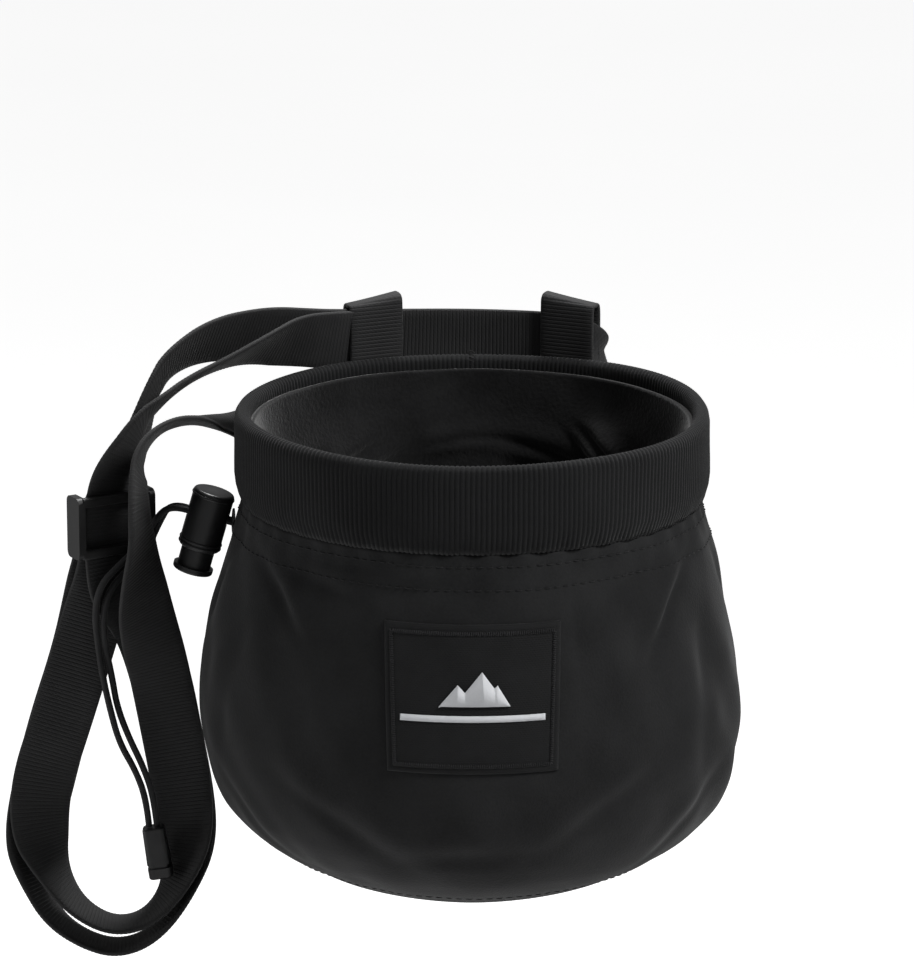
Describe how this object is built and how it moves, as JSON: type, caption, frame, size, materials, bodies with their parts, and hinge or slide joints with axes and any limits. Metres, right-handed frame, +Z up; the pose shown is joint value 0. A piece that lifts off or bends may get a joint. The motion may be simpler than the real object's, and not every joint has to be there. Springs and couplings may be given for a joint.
{
  "type": "chalk bag",
  "caption": "Round open chalk bag with a stiffened ribbed collar, drawcord with barrel lock, rear belt loops and an adjustable webbing waist belt.",
  "frame": {"origin": "middle of the waist belt, half way between the rear belt loops", "axes": "+Z up, -Y the front of the bag, +Y towards the wearer, +X to the right seen from the front"},
  "size_m": [0.223, 0.1685, 0.1918],
  "materials": {
    "shell_cloth": "brushed polyester",
    "binding_tape": "woven tape",
    "ribbed_collar": "ribbed",
    "stiffener": "satin",
    "fleece": "fleece pile",
    "label_cloth": "close woven",
    "label_thread": "stitched",
    "label_print": "matt print",
    "webbing": "ribbed webbing",
    "thread": "stitched",
    "acetal": "satin",
    "cord": "braided",
    "blackened_metal": "satin black",
    "lock_plastic": "satin",
    "spring_steel": "drawn wire"
  },
  "bodies": {
    "bag": {"base_binding": "binding_tape", "base_panel": "shell_cloth", "belt_back_run": "webbing", "belt_end_eye": "webbing", "belt_inner_loop": "webbing", "belt_loop_left": "webbing", "belt_loop_right": "webbing", "belt_outer_loop": "webbing", "belt_rear_run": "webbing", "belt_tail": "webbing", "body_shell": "shell_cloth", "buckle_insert": "acetal", "buckle_socket": "acetal", "collar_band": "ribbed_collar", "cord_end_bell": "lock_plastic", "cord_end_plug": "lock_plastic", "drawcord_eyelet": "blackened_metal", "drawcord_front_strand": "cord", "drawcord_rear_strand": "cord", "fleece_lining": "fleece", "label_border": "label_thread", "label_motif": "label_print", "label_patch": "label_cloth", "lining_base": "fleece", "loop_bartacks": "thread", "neck_cord": "cord", "rim_hoop": "stiffener"},
    "cord_lock": {"cord_lock_body": "lock_plastic", "cord_lock_spring": "spring_steel"},
    "cord_lock_button": {"cord_lock_plunger": "lock_plastic"},
    "belt_slider": {"tri_glide": "acetal"},
    "buckle_upper_prong": {"buckle_prong_upper": "acetal"},
    "buckle_lower_prong": {"buckle_prong_lower": "acetal"}
  },
  "joints": [
    {"name": "cord_lock_travel", "type": "slide", "parent": "bag", "child": "cord_lock", "axis": [-0.9613, 0, 0.2756], "range_m": [0, 0.0025]},
    {"name": "cord_lock_press", "type": "slide", "parent": "cord_lock", "child": "cord_lock_button", "axis": [0.2756, 0, 0.9613], "range_m": [0, 0.0035], "stiffness_N_per_m": 600, "springref_m": -0.003, "deforming": ["cord_lock_spring"]},
    {"name": "belt_slider_travel", "type": "slide", "parent": "bag", "child": "belt_slider", "axis": [0, 0, -1], "range_m": [0, 0.005]},
    {"name": "buckle_upper_squeeze", "type": "hinge", "parent": "bag", "child": "buckle_upper_prong", "pos_m": [0.0085, 0.008, -0.0166], "axis": [0, -1, 0], "range_deg": [0, 6], "stiffness_Nm_per_rad": 0.3, "springref_deg": -2.01},
    {"name": "buckle_lower_squeeze", "type": "hinge", "parent": "bag", "child": "buckle_lower_prong", "pos_m": [0.0085, 0.008, -0.0334], "axis": [0, 1, 0], "range_deg": [0, 6]}
  ],
  "couplings": [
    {"joint": "buckle_lower_squeeze", "follows": "buckle_upper_squeeze", "ratio": 1}
  ]
}
